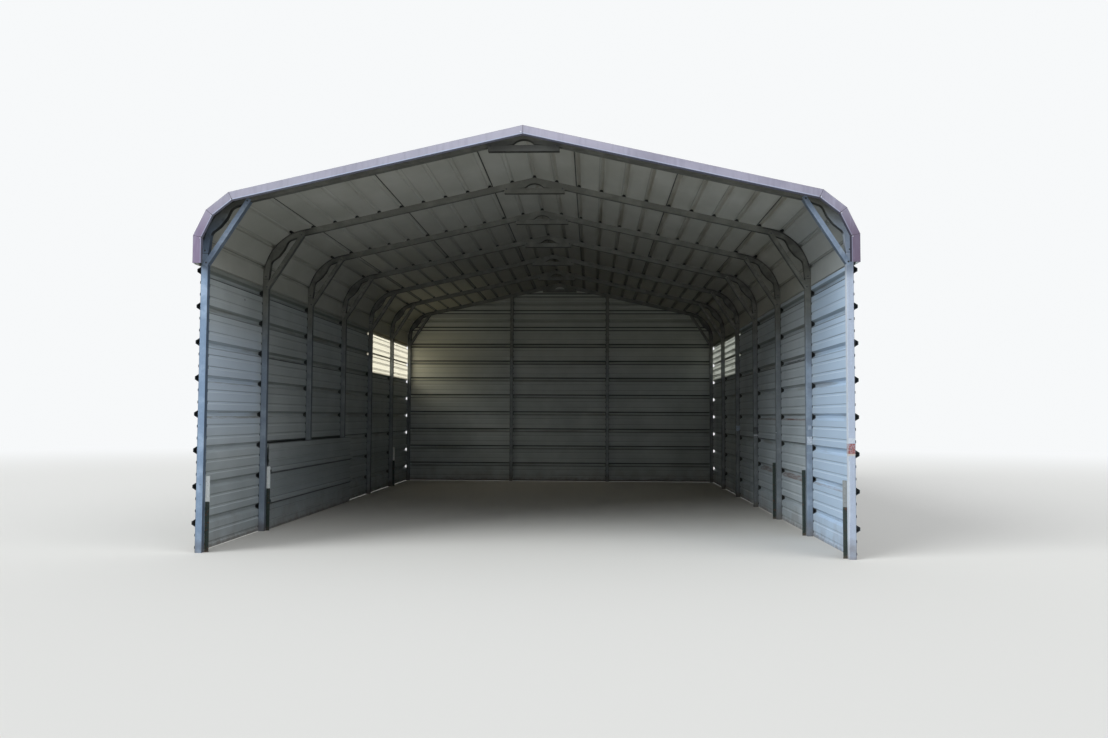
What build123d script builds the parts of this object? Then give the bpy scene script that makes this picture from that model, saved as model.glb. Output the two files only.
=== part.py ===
"""Steel tube carport with rounded eaves, closed on three sides and open at the front.

Millimetres. The origin is on the ground at the middle of the plan, +Z is up, the ridge runs along Y and
the open front faces -Y.
"""

import os
from math import atan2, cos, radians, sin, tan

from build123d import *

# Frame
tube = 57.15                # outside of the square tube
tube_wall = 1.9
tube_corner = 4.0           # outer corner radius of the tube
frame_width = 5486.4        # over the outsides of the legs
bay = 1524.0                # from one frame to the next
bays = 6
roof_slope = 12.6           # degrees
leg_height = 2530.0         # where a bow sits on its leg
bow_stub = 11.3             # straight foot of a bow, below its bend
nipple_length = 150.0       # the swaged end of a bow inside its leg
nipple_gap = 0.6
crimp_angle = 21.0          # degrees round the bend to the first of its two inner creases
crimp_depth = 47.0          # depth of the bow at a crease
crimp_radius = 70.0
swell_depth = 89.0          # depth of the bow between the creases
swell_angle = 6.0           # degrees from the middle of the bend to each shoulder of the swell
swell_radius = 90.0
ridge_swell = 80.0          # depth beside the ridge
ridge_arch = 95.0           # half width of the arch under the ridge
ridge_taper = 260.0         # where the bow is a plain tube again

# Braces
steel = 1.5                 # thickness of the pressed channels
brace_gap = 0.3             # between a channel and the tube inside it
brace_depth = 40.0
brace_web = 24.0            # screws to the outside of the channel's web
brace_tail = 26.0           # channel beyond each screw
brace_foot = (41.2, 79.0)   # lower screw: in from the leg's outside, down from the leg's top
brace_head = (386.0, 47.0)  # upper screw: in from the leg's outside, down from the bow's top
peak_length = 606.0
peak_depth = 51.0
peak_drop = 161.0           # ridge to the underside of the level channel

# Roof sheets
sheet = 1.0                 # thickness of every sheet
lap_gap = 0.3               # between two lapped sheets
overhang = 123.8            # roof past the outer faces of the end frames
roof_seams = (2, 6, 10)     # ribs at which one sheet lies over the next, counted from the ridge
bent_ribs = (11, 12, 13)    # at which the eave sheet turns down
skirt_drop = 216.0          # last bend to the rib at the edge of the skirt
roof_rib_height = 19.0
roof_rib_base = 45.0
roof_rib_top = 20.0

# Wall sheets
wall_rib_pitch = 304.8
wall_rib_height = 32.0
wall_rib_base = 65.0
wall_rib_top = 25.0
swage_height = 5.0          # the two shallow ribs between one wall rib and the next
swage_base = 30.0
swage_top = 14.0
sheet_ribs = 3              # ribs that each sheet adds to a wall
wall_foot = 3.0             # ground to the lower edge of the walls
edge_rise = 274.0           # last rib of a wall to the upper edge of its sheet
rib_clearance = 0.5         # between the top rib of a side wall and the edge of the skirt
light_panel_frame = 5       # the light panels begin on this frame, counted from the front
panel_joint = 2.0           # between a wall sheet and the light panel behind it
gable_seam_rise = 174.6     # top of the legs to the edge on which the gable sheet laps
gable_lap = 50.0
gable_lap_ramp = 4.0        # height over which the lapped sheet comes back to the wall
gable_rib_rise = 185.0      # that edge to the first rib of the gable sheet
gable_clearance = 2.0       # between the rear sheets and the roof sheets

# Trim, posts and the rest
trim_sheet = 1.0
trim_face = 85.0
trim_leg = 50.0
trim_gap = 1.5              # over the roof ribs
trim_end = 11.0             # trim below the rib at the skirt's edge
rear_post_spacing = 1720.0
kick_top = 870.0
kick_front = 1630.0         # from the front of the first frame
kick_length = 3270.0
anchor_height = 640.0
anchor_width = 35.0
anchor_depth = 35.0
anchor_web = 4.0
anchor_gap = 3.0            # behind the leg
anchor_centre = 74.0        # in from the wall, just clear of the leg
left_anchors = (1, 2, 6)
right_anchors = (1, 2, 3)

half_width = frame_width / 2
wall_inside = half_width - tube
frames = bays + 1
frame_length = bay * bays + tube
front = -frame_length / 2
rear = frame_length / 2
roof_length = frame_length + 2 * overhang
lift = sheet + lap_gap


def frame_y(number):
    """Middle of a frame, counted from 1 at the front."""
    return front + tube / 2 + bay * (number - 1)


on_frames = [(0, frame_y(number), 0) for number in range(1, frames + 1)]

os.makedirs("parts", exist_ok=True)


def save(part, name):
    part.label = name
    export_step(part, f"parts/{name}.step")


# The roof line: straight down the slope, three equal bends at the eave, then down the leg
slope = radians(roof_slope)
turn = radians(90 - roof_slope) / len(bent_ribs)
rib_run = half_width / (bent_ribs[0] * cos(slope) + cos(slope + turn) + cos(slope + 2 * turn))
roof_fall = rib_run * (bent_ribs[0] * sin(slope) + sin(slope + turn) + sin(slope + 2 * turn))
last_roof_rib = bent_ribs[-1] + 1
bend_foot = leg_height + bow_stub
ridge_height = bend_foot + rib_run / 2 + roof_fall


def heading(space):
    """Fall of the roof line in the space after a rib, in radians below level."""
    return slope + turn * sum(1 for bend in bent_ribs if space >= bend)


def roof_node(rib):
    """Place of a rib on the roof line, right of the ridge."""
    x, z = 0.0, ridge_height
    for space in range(rib):
        run = skirt_drop if space == bent_ribs[-1] else rib_run
        x += run * cos(heading(space))
        z -= run * sin(heading(space))
    return x, z


def lapped(height, base, top):
    """Size of a rib that lies over another one of the given size."""
    run = (base - top) / 2
    side = (run**2 + height**2) ** 0.5
    return (height + lift, base + 2 * lift * side / height, top + 2 * lift * (side - run) / height)


def raised(foot, shoulder, height):
    """The foot of a lapped rib, moved up its side until it clears the sheet below."""
    share = lift / height
    return tuple(low + share * (high - low) for low, high in zip(foot, shoulder))


def roof_rib(rib, size):
    """Four corners of a roof rib, between the headings before and after it."""
    height, base, top = size
    x, z = roof_node(rib)
    after = heading(rib)
    before = heading(rib - 1) if rib else -after
    middle = (before + after) / 2
    crown = (x + height * sin(middle), z + height * cos(middle))
    points = [(x - base / 2 * cos(before), z + base / 2 * sin(before))]
    for side in (-1, 1):
        points.append((crown[0] + side * top / 2 * cos(middle), crown[1] - side * top / 2 * sin(middle)))
    points.append((x + base / 2 * cos(after), z - base / 2 * sin(after)))
    return points


def roof_line(first, last):
    """Underside of a roof sheet from one rib to another, right of the ridge. The last rib is lapped."""
    plain = (roof_rib_height, roof_rib_base, roof_rib_top)
    points = []
    for rib in range(first, last):
        points += roof_rib(rib, plain)
    corners = roof_rib(last, lapped(*plain))
    corners[3] = raised(corners[3], corners[2], roof_rib_height + lift)
    return points + corners


def parallel(points, distance):
    """The same open line moved to its left, with mitred corners."""
    places = [Vector(*point) for point in points]
    normals = [(b - a).normalized().rotate(Axis.Z, 90) for a, b in zip(places, places[1:])]
    moved = []
    for place, before, after in zip(places, normals[:1] + normals, normals + normals[-1:]):
        moved.append(place + (before + after) * (distance / (1 + before.dot(after))))
    return [(place.X, place.Y) for place in moved]


def strip(points, thickness):
    """Closed outline of a sheet that lies on the given line, thickness to its left."""
    with BuildSketch() as outline:
        with BuildLine():
            Polyline(*points, *reversed(parallel(points, thickness)), close=True)
        make_face()
    return outline.sketch


def draw_tube():
    """Section of the square tube, in an open sketch."""
    RectangleRounded(tube, tube, tube_corner)
    Rectangle(tube - 2 * tube_wall, tube - 2 * tube_wall, mode=Mode.SUBTRACT)


# Legs: hollow tubes that stand on the ground
for number in range(1, frames + 1):
    with BuildPart() as legs:
        with BuildSketch():
            with Locations(*[(side * (half_width - tube / 2), frame_y(number)) for side in (-1, 1)]):
                draw_tube()
        extrude(amount=leg_height)
    save(legs.part, f"legs_{number}")

# Bows: one tube from leg to leg, crimped at the eaves, with a swaged end in each leg
corner_turn = radians(90 - roof_slope)
corner_radius = rib_run / 2 / tan(turn / 2)


def at_corner(angle, depth):
    """Point at an angle round the eave and a depth in from the outside of the bow."""
    reach = corner_radius - depth
    return half_width - corner_radius + reach * cos(angle), bend_foot + reach * sin(angle)


crimps = [
    (radians(crimp_angle), crimp_depth),
    (corner_turn / 2 - radians(swell_angle), swell_depth),
    (corner_turn / 2 + radians(swell_angle), swell_depth),
    (corner_turn - radians(crimp_angle), crimp_depth),
]


def slope_point(x, depth):
    """Point of the slope at a depth in from the outside of the bow."""
    return x, ridge_height - x * tan(slope) - depth / cos(slope)


def bow_outline(inset, foot):
    """Outline of a bow, drawn in from the surface of the tube, down to a foot."""
    with BuildSketch(Plane.XZ) as outline:
        with BuildLine():
            eave = at_corner(corner_turn, inset)
            wall = at_corner(0, inset)
            inner_eave = at_corner(corner_turn, tube - inset)
            inner_wall = at_corner(0, tube - inset)
            Polyline(slope_point(0, inset), eave)
            ThreePointArc(eave, at_corner(corner_turn / 2, inset), wall)
            Polyline(wall, (half_width - inset, foot), (wall_inside + inset, foot), inner_wall)
            crimp = [inner_wall]
            for angle, depth in crimps:
                crimp.append(at_corner(angle, depth - inset))
            crimp.append(inner_eave)
            if inset:
                Polyline(*crimp)
            else:
                FilletPolyline(*crimp, radius=(crimp_radius, swell_radius, swell_radius, crimp_radius))
            shoulder = slope_point(ridge_arch, ridge_swell - inset)
            Polyline(inner_eave, slope_point(ridge_taper, tube - inset), shoulder)
            arch_top = slope_point(0, tube - inset)
            arch = ThreePointArc(shoulder, arch_top, (-shoulder[0], shoulder[1]), mode=Mode.PRIVATE)
            add(arch.trim(0, 0.5))
            Line(arch_top, slope_point(0, inset))
        make_face()
        mirror(about=Plane.YZ)
    return outline.sketch


nipple = tube - 2 * tube_wall - nipple_gap
nipple_foot = leg_height - nipple_length
nipples = [(side * (half_width - tube / 2), 0) for side in (-1, 1)]
with BuildPart() as bow:
    extrude(bow_outline(0, leg_height), amount=tube / 2, both=True)
    with BuildSketch(Plane.XY.offset(nipple_foot)):
        with Locations(*nipples):
            Rectangle(nipple, nipple)
    extrude(amount=nipple_length)
    inside = bow_outline(tube_wall, leg_height + tube_wall)
    extrude(inside, amount=tube / 2 - tube_wall, both=True, mode=Mode.SUBTRACT)
    with BuildSketch(Plane.XY.offset(nipple_foot)):
        with Locations(*nipples):
            Rectangle(nipple - 2 * tube_wall, nipple - 2 * tube_wall)
    extrude(amount=nipple_length + 2 * tube_wall, mode=Mode.SUBTRACT)
for number, place in enumerate(on_frames, 1):
    with BuildPart() as placed:
        with Locations(place):
            add(bow.part)
    save(placed.part, f"bow_{number}")

# Corner braces: channels that straddle the tubes, coped where the web meets them
screw_foot = (half_width - brace_foot[0], leg_height - brace_foot[1])
head_x = half_width - brace_head[0]
screw_head = (head_x, slope_point(head_x, 0)[1] - brace_head[1])
brace_angle = atan2(screw_head[1] - screw_foot[1], screw_foot[0] - screw_head[0])
brace_length = (screw_foot[0] - screw_head[0]) / cos(brace_angle) + 2 * brace_tail
brace_run = Vector(-cos(brace_angle), 0, sin(brace_angle))
channel_inside = tube + 2 * brace_gap
channel_outside = channel_inside + 2 * steel
with BuildPart() as brace:
    foot = Vector(screw_foot[0], 0, screw_foot[1]) - brace_run * brace_tail
    with BuildSketch(Plane(foot, x_dir=(0, 1, 0), z_dir=brace_run)):
        with Locations((0, brace_web - brace_depth / 2)):
            Rectangle(channel_outside, brace_depth)
        with Locations((0, brace_web - steel - brace_depth / 2)):
            Rectangle(channel_inside, brace_depth, mode=Mode.SUBTRACT)
    extrude(amount=brace_length)
    with BuildSketch(Plane.XZ):
        with BuildLine():
            corner = slope_point(wall_inside - brace_gap, tube + brace_gap)
            Polyline(
                (corner[0], 0), corner, slope_point(0, tube + brace_gap),
                (0, 2 * ridge_height), (frame_width, 2 * ridge_height), (frame_width, 0),
                close=True,
            )
        make_face()
    extrude(amount=channel_inside / 2, both=True, mode=Mode.SUBTRACT)
for shape, name in ((brace.part, "right"), (mirror(brace.part, about=Plane.YZ), "left")):
    with BuildPart() as braces:
        with Locations(*on_frames):
            add(shape)
    save(braces.part, f"corner_braces_{name}")

# Peak braces: level channels that straddle the two slopes of a bow
with BuildPart() as peaks:
    with BuildSketch(Plane.YZ.offset(-peak_length / 2)):
        with Locations(*[(frame_y(number), ridge_height - peak_drop) for number in range(1, frames + 1)]):
            Rectangle(channel_outside, peak_depth, align=(Align.CENTER, Align.MIN))
            with Locations((0, steel)):
                Rectangle(channel_inside, peak_depth, align=(Align.CENTER, Align.MIN), mode=Mode.SUBTRACT)
    extrude(amount=peak_length)
save(peaks.part, "peak_braces")


# Roof sheets: the ribs run along Y, and each sheet laps over the one below
def roof_sheet(line):
    with BuildPart() as cover:
        extrude(Plane.XZ * strip(line, sheet), amount=roof_length / 2, both=True)
    return cover.part


ridge_line = roof_line(0, roof_seams[0])[2:]
save(roof_sheet([(-x, z) for x, z in ridge_line[::-1]] + ridge_line), "ridge_sheet")
names = ("upper_roof_sheet", "lower_roof_sheet", "eave_sheet")
for name, first, last in zip(names, roof_seams, roof_seams[1:] + (last_roof_rib,)):
    cover = roof_sheet(roof_line(first, last))
    save(cover, f"{name}_right")
    save(mirror(cover, about=Plane.YZ), f"{name}_left")


# Wall sheets: level ribs that stand out from the frame
def level_rib(centre, size):
    """Corners of one rib as (up, out)."""
    height, base, top = size
    return [(centre - base / 2, 0), (centre - top / 2, height), (centre + top / 2, height), (centre + base / 2, 0)]


def swages(rib, low, high):
    """The two shallow ribs above a wall rib, where they fit between two heights."""
    points = []
    for share in (1, 2):
        centre = rib + wall_rib_pitch * share / 3
        if low + swage_base < centre < high - swage_base:
            points += level_rib(centre, (swage_height, swage_base, swage_top))
    return points


def rib_line(ribs, top=None, lap=False):
    """Inside of a sheet as (up, out), from its first rib to its last one or to its top edge."""
    points = []
    plain = (wall_rib_height, wall_rib_base, wall_rib_top)
    for rib, end in zip(ribs, ribs[1:] + [top]):
        if lap and rib == ribs[0]:
            corners = level_rib(rib, lapped(*plain))
            corners[0] = raised(corners[0], corners[1], wall_rib_height + lift)
        else:
            corners = level_rib(rib, plain)
        points += corners
        if end is not None:
            points += swages(rib, rib, end)
    if top is not None:
        points.append((top, 0))
    return points


def foot_line(first_rib):
    """Inside of a sheet from its lower edge to its first rib."""
    return [(wall_foot, 0)] + swages(first_rib - wall_rib_pitch, wall_foot, first_rib)


def ribs_down_from(top_rib):
    """Heights of the ribs from the given one down to the foot of the wall, lowest first."""
    count = int((top_rib - wall_rib_base / 2 - wall_foot) // wall_rib_pitch) + 1
    return [top_rib - wall_rib_pitch * step for step in range(count)][::-1]


def three_sheets(ribs, top):
    """Lines of the low, middle and top sheet of a wall. The upper two begin on the last rib below them."""
    low = ribs[: 1 - 2 * sheet_ribs]
    middle = ribs[-2 * sheet_ribs : 1 - sheet_ribs]
    high = ribs[-sheet_ribs:]
    return foot_line(low[0]) + rib_line(low), rib_line(middle, lap=True), rib_line(high, lap=True, top=top)


def save_side_sheet(line, begin, length, side, name, inward=False):
    """Run a sheet along Y on the outside, or the inside, of the legs."""
    face, way = (wall_inside, -1) if inward else (half_width, 1)
    outline = strip([(side * (face + way * out), up) for up, out in line], -sheet * side * way)
    with BuildPart() as cover:
        extrude(Plane.XZ.offset(-begin) * outline, amount=-length)
    save(cover.part, name)


skirt_rib = roof_node(last_roof_rib)[1]
skirt_edge = skirt_rib - lapped(roof_rib_height, roof_rib_base, roof_rib_top)[1] / 2
side_ribs = ribs_down_from(skirt_edge - rib_clearance - wall_rib_base / 2)
low_line, middle_line, top_line = three_sheets(side_ribs, skirt_rib + roof_rib_top / 2)
sheet_end = frame_y(light_panel_frame) - panel_joint / 2
panel_front = frame_y(light_panel_frame) + panel_joint / 2
for side, name in ((-1, "left"), (1, "right")):
    save_side_sheet(low_line, front, frame_length, side, f"low_wall_sheet_{name}")
    save_side_sheet(middle_line, front, frame_length, side, f"middle_wall_sheet_{name}")
    save_side_sheet(top_line, front, sheet_end - front, side, f"top_wall_sheet_{name}")
    save_side_sheet(top_line, panel_front, rear - panel_front, side, f"light_panel_{name}")

# Kick sheet: a low ribbed sheet on the inner faces of the left legs
kick_ribs = ribs_down_from(kick_top - edge_rise)
kick_line = foot_line(kick_ribs[0]) + rib_line(kick_ribs, top=kick_top)
save_side_sheet(kick_line, front + kick_front, kick_length, -1, "kick_sheet", inward=True)

# Rear wall sheets: on the posts and on the flanges of the last braces, cut to the roof line
rear_face = rear + brace_gap + steel
gable_seam = leg_height + gable_seam_rise
gable_ribs = [gable_seam + gable_rib_rise]
while gable_ribs[-1] + wall_rib_pitch < ridge_height - wall_rib_base:
    gable_ribs.append(gable_ribs[-1] + wall_rib_pitch)
gable_foot = gable_seam + lift + gable_lap_ramp
gable_line = [(gable_seam - gable_lap, lift), (gable_seam + lift, lift), (gable_foot, 0)]
gable_line += swages(gable_ribs[0] - wall_rib_pitch, gable_foot, gable_ribs[0])
gable_line += rib_line(gable_ribs, top=ridge_height)
with BuildSketch(Plane.XZ.offset(-rear)) as end_wall:
    with BuildLine():
        eaves = [roof_node(rib) for rib in bent_ribs]
        right = [roof_node(0)] + eaves + [(half_width, -gable_clearance)]
        Polyline(*right, *[(-x, z) for x, z in right[:0:-1]], close=True)
    make_face()
    offset(amount=-gable_clearance, kind=Kind.INTERSECTION, mode=Mode.REPLACE)
rear_lines = three_sheets(ribs_down_from(gable_seam - edge_rise), gable_seam) + (gable_line,)
for name, line in zip(("low", "middle", "upper", "gable"), rear_lines):
    outline = strip([(rear_face + out, up) for up, out in line], -sheet)
    with BuildPart() as cover:
        extrude(Plane.YZ * outline, amount=half_width, both=True)
        extrude(end_wall.sketch, amount=-overhang, mode=Mode.INTERSECT)
    save(cover.part, f"rear_{name}_sheet")

# Rear posts: tubes from the ground up to the last bow, cut to its slope
with BuildPart() as posts:
    with BuildSketch():
        with Locations(*[(side * rear_post_spacing / 2, rear_face - tube / 2) for side in (-1, 1)]):
            draw_tube()
    extrude(amount=ridge_height)
    with BuildSketch(Plane.XZ.offset(-frame_y(frames))):
        with BuildLine():
            eave = slope_point(half_width, tube)
            under = (slope_point(0, tube), eave, (half_width, 2 * ridge_height))
            Polyline(*under, *[(-x, z) for x, z in under[:0:-1]], close=True)
        make_face()
    extrude(amount=tube, both=True, mode=Mode.SUBTRACT)
save(posts.part, "rear_posts")

# Ground anchors: driven T posts beside the legs
for side, numbers, name in ((-1, left_anchors, "left"), (1, right_anchors, "right")):
    x = side * (half_width - anchor_centre)
    with BuildPart() as anchors:
        with BuildSketch():
            with Locations(*[(x, frame_y(number) + tube / 2 + anchor_gap) for number in numbers]):
                Rectangle(anchor_width, anchor_web, align=(Align.CENTER, Align.MIN))
                Rectangle(anchor_web, anchor_depth, align=(Align.CENTER, Align.MIN))
        extrude(amount=anchor_height)
    save(anchors.part, f"anchors_{name}")

# Gable trim: an angle folded round the roof's edge, over the ribs and down the ends of the sheets
trim_out = roof_rib_height + sheet + lift + trim_gap
skirt = roof_node(last_roof_rib)
half_trim = [roof_node(rib) for rib in (0,) + bent_ribs] + [(skirt[0], skirt[1] - trim_end)]
trim_nodes = [(-x, z) for x, z in half_trim[:0:-1]] + half_trim
face_outline = strip(parallel(trim_nodes, trim_out + trim_sheet), -trim_face)
leg_outline = strip(parallel(trim_nodes, trim_out), trim_sheet)
for way, name in ((-1, "front"), (1, "rear")):
    edge = way * roof_length / 2
    with BuildPart() as trim:
        extrude(Plane.XZ.offset(-edge) * face_outline, amount=-way * trim_sheet)
        extrude(Plane.XZ.offset(-edge - way * trim_sheet) * leg_outline, amount=way * (trim_leg + trim_sheet))
    save(trim.part, f"gable_trim_{name}")
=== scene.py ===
"""A steel carport with rounded eaves, closed on three sides, dressed over its CAD frame."""

from math import cos, pi, radians, sin, tan

import bmesh
import bpy
from mathutils import Matrix, Vector
from mathutils.bvhtree import BVHTree


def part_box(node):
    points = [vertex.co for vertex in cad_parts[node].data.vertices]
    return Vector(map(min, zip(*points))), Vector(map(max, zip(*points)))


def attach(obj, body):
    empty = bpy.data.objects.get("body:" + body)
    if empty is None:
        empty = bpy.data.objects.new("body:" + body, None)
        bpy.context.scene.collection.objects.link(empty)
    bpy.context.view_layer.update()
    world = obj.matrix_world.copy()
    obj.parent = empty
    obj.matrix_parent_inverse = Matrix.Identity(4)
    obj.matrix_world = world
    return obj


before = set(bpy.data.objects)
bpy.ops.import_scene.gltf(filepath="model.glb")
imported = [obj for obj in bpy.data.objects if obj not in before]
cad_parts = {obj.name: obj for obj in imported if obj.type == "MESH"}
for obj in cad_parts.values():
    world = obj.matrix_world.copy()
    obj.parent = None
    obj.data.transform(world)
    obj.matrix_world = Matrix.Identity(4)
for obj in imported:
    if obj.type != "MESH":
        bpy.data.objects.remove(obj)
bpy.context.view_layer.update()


# Legs: seven pairs of 2 1/4 in square tube, roll formed from galvanised strip and stood on the
# ground. The zinc is dull, with a faint spangle, white bloom and dust at the foot, and the legs
# near the opening are rubbed and stained at about waist height.
class Term:
    """One output of a node, so that shader maths can be written as an expression."""

    def __init__(self, finish, socket):
        self.finish = finish
        self.socket = socket

    def work(self, operation, one, other):
        return self.finish.node("Math", {"operation": operation}, {0: one, 1: other})

    def __add__(self, other):
        return self.work("ADD", self, other)

    __radd__ = __add__

    def __sub__(self, other):
        return self.work("SUBTRACT", self, other)

    def __rsub__(self, other):
        return self.work("SUBTRACT", other, self)

    def __mul__(self, other):
        return self.work("MULTIPLY", self, other)

    __rmul__ = __mul__

    def __truediv__(self, other):
        return self.work("DIVIDE", self, other)

    def __abs__(self):
        return self.work("ABSOLUTE", self, 0.0)


class Finish:
    """A material, or the world, and the nodes that make it, on the object's own coordinates."""

    def __init__(self, name, owner=None):
        self.material = owner or bpy.data.materials.new(name)
        self.material.use_nodes = True
        self.tree = self.material.node_tree
        self.tree.nodes.clear()
        self.place = self.node("TexCoord", out="Object")
        self.x, self.y, self.z = self.parts(self.place)

    def node(self, kind, settings=None, values=None, out=0):
        """Add a node of a type, with its settings, its sockets' values or links, and an output."""
        made = self.tree.nodes.new("ShaderNode" + kind)
        for name, value in (settings or {}).items():
            setattr(made, name, value)
        for key, value in (values or {}).items():
            if isinstance(value, Term):
                self.tree.links.new(value.socket, made.inputs[key])
            else:
                made.inputs[key].default_value = value
        return Term(self, made.outputs[out]) if made.outputs else None

    def parts(self, vector):
        """The three numbers of a vector."""
        first = self.node("SeparateXYZ", values={0: vector})
        return [Term(self, socket) for socket in first.socket.node.outputs]

    def larger(self, one, other):
        """The larger of two numbers."""
        return self.node("Math", {"operation": "MAXIMUM"}, {0: one, 1: other})

    def sign(self, value):
        """-1 for a negative number and 1 for a positive one."""
        return self.node("Math", {"operation": "SIGN"}, {0: value})

    def length(self, vector):
        """The length of a vector."""
        return self.node("VectorMath", {"operation": "LENGTH"}, {0: vector}, out="Value")

    def facing(self):
        """Which way the surface faces, without its bump."""
        return self.node("NewGeometry", out="True Normal")

    def noise(self, scale, stretch=(1, 1, 1), detail=3.0, shift=0.0):
        """Noise with a scale in cells per metre, from about 0.25 to 0.75."""
        scaled = {0: self.place, 1: [scale * share for share in stretch], 2: (shift,) * 3}
        values = {
            "Vector": self.node("VectorMath", {"operation": "MULTIPLY_ADD"}, scaled),
            "Scale": 1.0, "Detail": detail, "Roughness": 0.55,
        }
        return self.node("TexNoise", values=values)

    def rise(self, value, low, high):
        """0 before low, 1 past high and smooth between them."""
        ends = {"Value": value, "From Min": low, "From Max": high}
        return self.node("MapRange", {"interpolation_type": "SMOOTHSTEP"}, ends)

    def band(self, value, low, high, soft):
        """1 between two values and 0 outside them."""
        return self.rise(value, low - soft, low + soft) * self.rise(value, high + soft, high - soft)

    def nearest(self, value, first, pitch):
        """How far a value is past the nearest of a row of places that are a pitch apart."""
        turns = (value - (first - pitch / 2)) / pitch
        return (self.node("Math", {"operation": "FRACT"}, {0: turns}) - 0.5) * pitch

    def mix(self, share, one, other):
        """From one colour to the other."""
        return self.node("Mix", {"data_type": "RGBA"}, {0: share, 6: one, 7: other}, out=2)

    def shade(self, colour, share):
        """A colour made lighter or darker by a number."""
        colour = colour if isinstance(colour, Term) else colour[:3]
        return self.node("VectorMath", {"operation": "SCALE"}, {0: colour, "Scale": share})

    def surface(self, colour, roughness, height=None, depth=0.001, **fixed):
        """Close the material with a shader, and a bump of some depth in metres."""
        values = {"Base Color": colour, "Roughness": roughness}
        values.update({name.replace("_", " "): value for name, value in fixed.items()})
        if height is not None:
            bump = {"Height": height, "Strength": 1.0, "Distance": depth}
            values["Normal"] = self.node("Bump", values=bump)
        shader = self.node("BsdfPrincipled", values=values)
        self.node("OutputMaterial", values={"Surface": shader})


def paint(*screen):
    """A colour from its red, green and blue screen values, 0 to 255."""
    shares = [value / 255 for value in screen]
    linear = [v / 12.92 if v <= 0.0393 else ((v + 0.055) / 1.055) ** 2.4 for v in shares]
    return (*linear, 1.0)


def dress(finish, *names):
    """Give CAD nodes their finish."""
    for name in names:
        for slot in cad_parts[name].material_slots:
            slot.material = finish.material


half_width = 2.7432
leg_line = 2.7146
tube = 0.05715
bay = 1.524
frame_places = [-4.572 + bay * number for number in range(7)]
leg_top = 2.53
eave_centre = (2.2422, 2.5413)
rust = paint(122, 66, 44)
soil = paint(112, 96, 80)
soot = paint(26, 28, 28)


def rained_and_lit_zinc(steel, bloom, facing, front, sunny):
    """Zinc where rain reaches it: bluish, with painted light and painted shade."""
    # Painted light: the inner face of the front right leg is painted near white, as if sunlit.
    pale = steel.rise(facing[0], -0.4, -0.8)
    sunlit_zinc = steel.mix(pale, paint(188, 196, 212), paint(236, 240, 246))
    washed = steel.mix(bloom, paint(128, 148, 172), paint(160, 178, 199))
    washed = steel.mix(sunny, washed, sunlit_zinc)
    # Painted light: the tubes further in are painted lighter and less blue.
    lightened_within = steel.mix(bloom, paint(142, 156, 174), paint(166, 180, 198))
    washed = steel.mix(1 - front, washed, lightened_within)
    # Painted shadow: the front frame is painted darker from the tops of its legs up, as under the
    # eave.
    eave_shade = front * steel.rise(steel.z, 2.28, 2.4)
    return steel.mix(eave_shade * 0.6, washed, paint(104, 116, 134))


def shaded_bends(steel, colour, facing, front):
    """Painted shade under the ridge, along the inside of each bend and over the crimped corners."""
    across = abs(steel.x)
    crest = steel.rise(across, 0.34, 0.3)
    under_ridge = crest * front * steel.rise(steel.z, 3.5, 3.47)
    colour = steel.mix(under_ridge * 0.45, colour, paint(52, 55, 60))
    inner = steel.rise(facing[2], -0.15, -0.45)
    inner = inner * (0.3 + (steel.rise(across, 2.1, 2.25) + crest) * 0.45)
    colour = steel.mix(inner, colour, paint(40, 39, 34))
    offset = {0: across - eave_centre[0], 2: steel.z - eave_centre[1]}
    reach = steel.length(steel.node("CombineXYZ", values=offset))
    corner = steel.rise(steel.z, 2.58, 2.68) * steel.rise(across, 2.2, 2.32)
    corner = corner * (1 - front * steel.rise(steel.x, -0.5, 0.5))
    # Painted shade in blotches over the crimps, and a painted shadow line along the bow's outer
    # edge.
    crimp_shade = steel.rise(steel.noise(9.0, detail=4.0, shift=5.0), 0.4, 0.6) * 0.3 + 0.15
    crimp_shade = crimp_shade + steel.rise(reach, 0.484, 0.495) * 0.5
    return steel.mix(corner * crimp_shade, colour, soot)


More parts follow.
